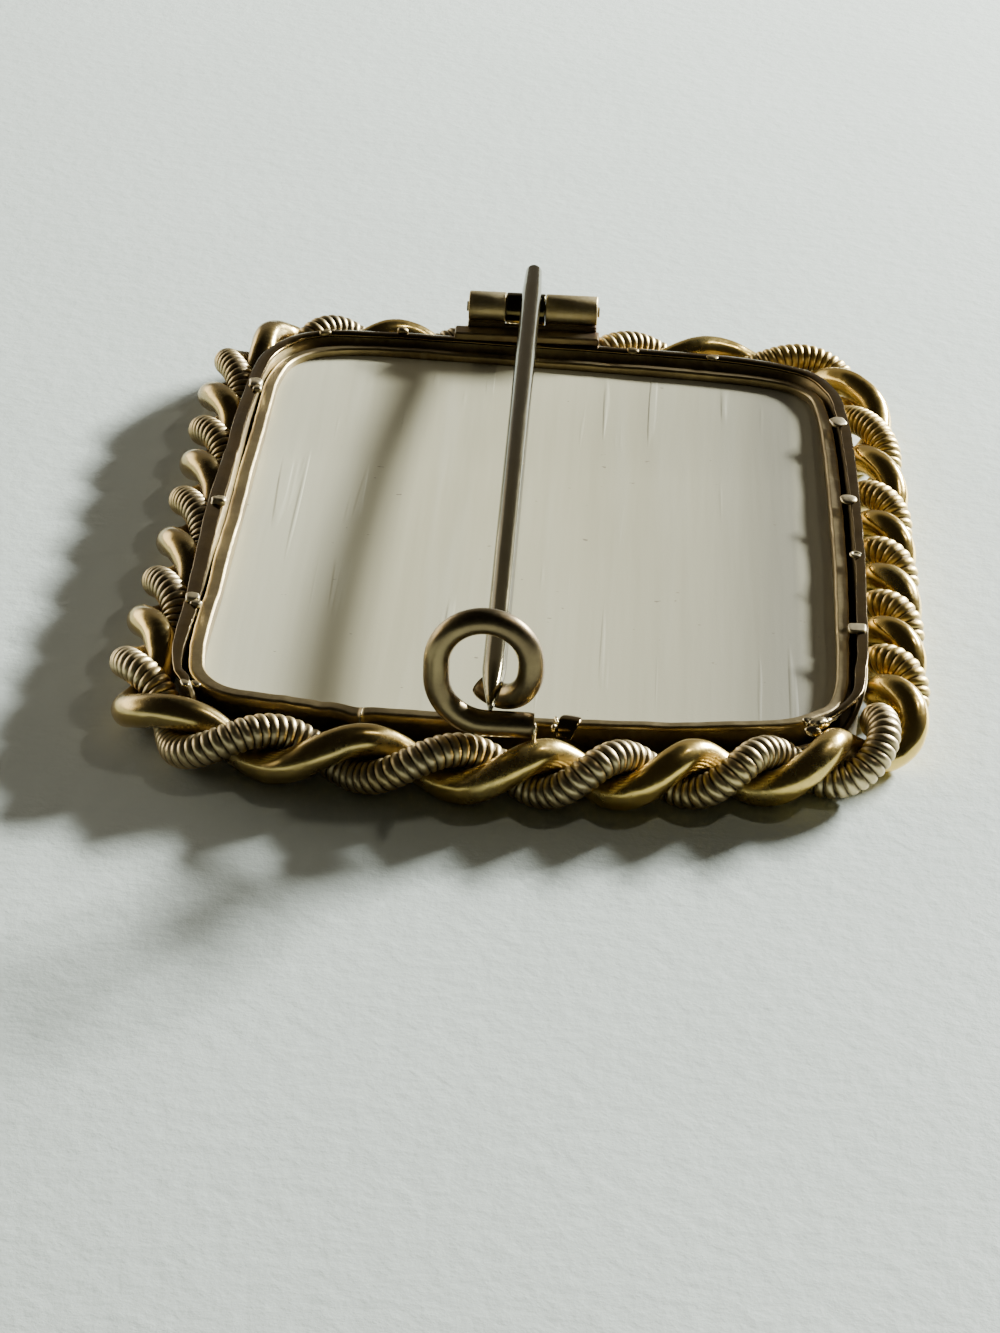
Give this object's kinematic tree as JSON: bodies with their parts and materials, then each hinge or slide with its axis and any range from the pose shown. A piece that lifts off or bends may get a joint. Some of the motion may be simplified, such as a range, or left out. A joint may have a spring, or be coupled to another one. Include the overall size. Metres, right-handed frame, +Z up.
{
  "type": "porcelain plaque brooch",
  "caption": "Domed porcelain plaque in a metal bezel with a two-strand rope border, a tube hinge, a long pin and a scroll catch on its back.",
  "frame": {"origin": "middle of the bounding box, on the surface the brooch lies on", "axes": "+X to the viewer's right across the back, +Y from the catch to the hinge, +Z up out of the back, face down"},
  "size_m": [0.0485, 0.0656, 0.0118],
  "materials": {
    "porcelain": "unglazed back with faint lengthwise brush streaks",
    "aged_brass": "dark aged brass, dull",
    "gilt_brass": "worn gilding, polished on the crests",
    "worn_gilt": "fine wire winding, gilding worn to a silvery brown",
    "pin_metal": "dark patinated wire, filed to a point"
  },
  "bodies": {
    "frame": {"plaque": "porcelain", "bezel": "aged_brass", "setting": "aged_brass", "smooth_strand": "gilt_brass", "wound_strand": "worn_gilt", "hinge_rivet": "aged_brass"},
    "swing_pin": {"pin": "pin_metal"}
  },
  "joints": [
    {"name": "pin_hinge", "type": "hinge", "parent": "frame", "child": "swing_pin", "pos_m": [0, 0.0287, 0.00545], "axis": [-1, 0, 0], "range_deg": [0, 70]}
  ]
}
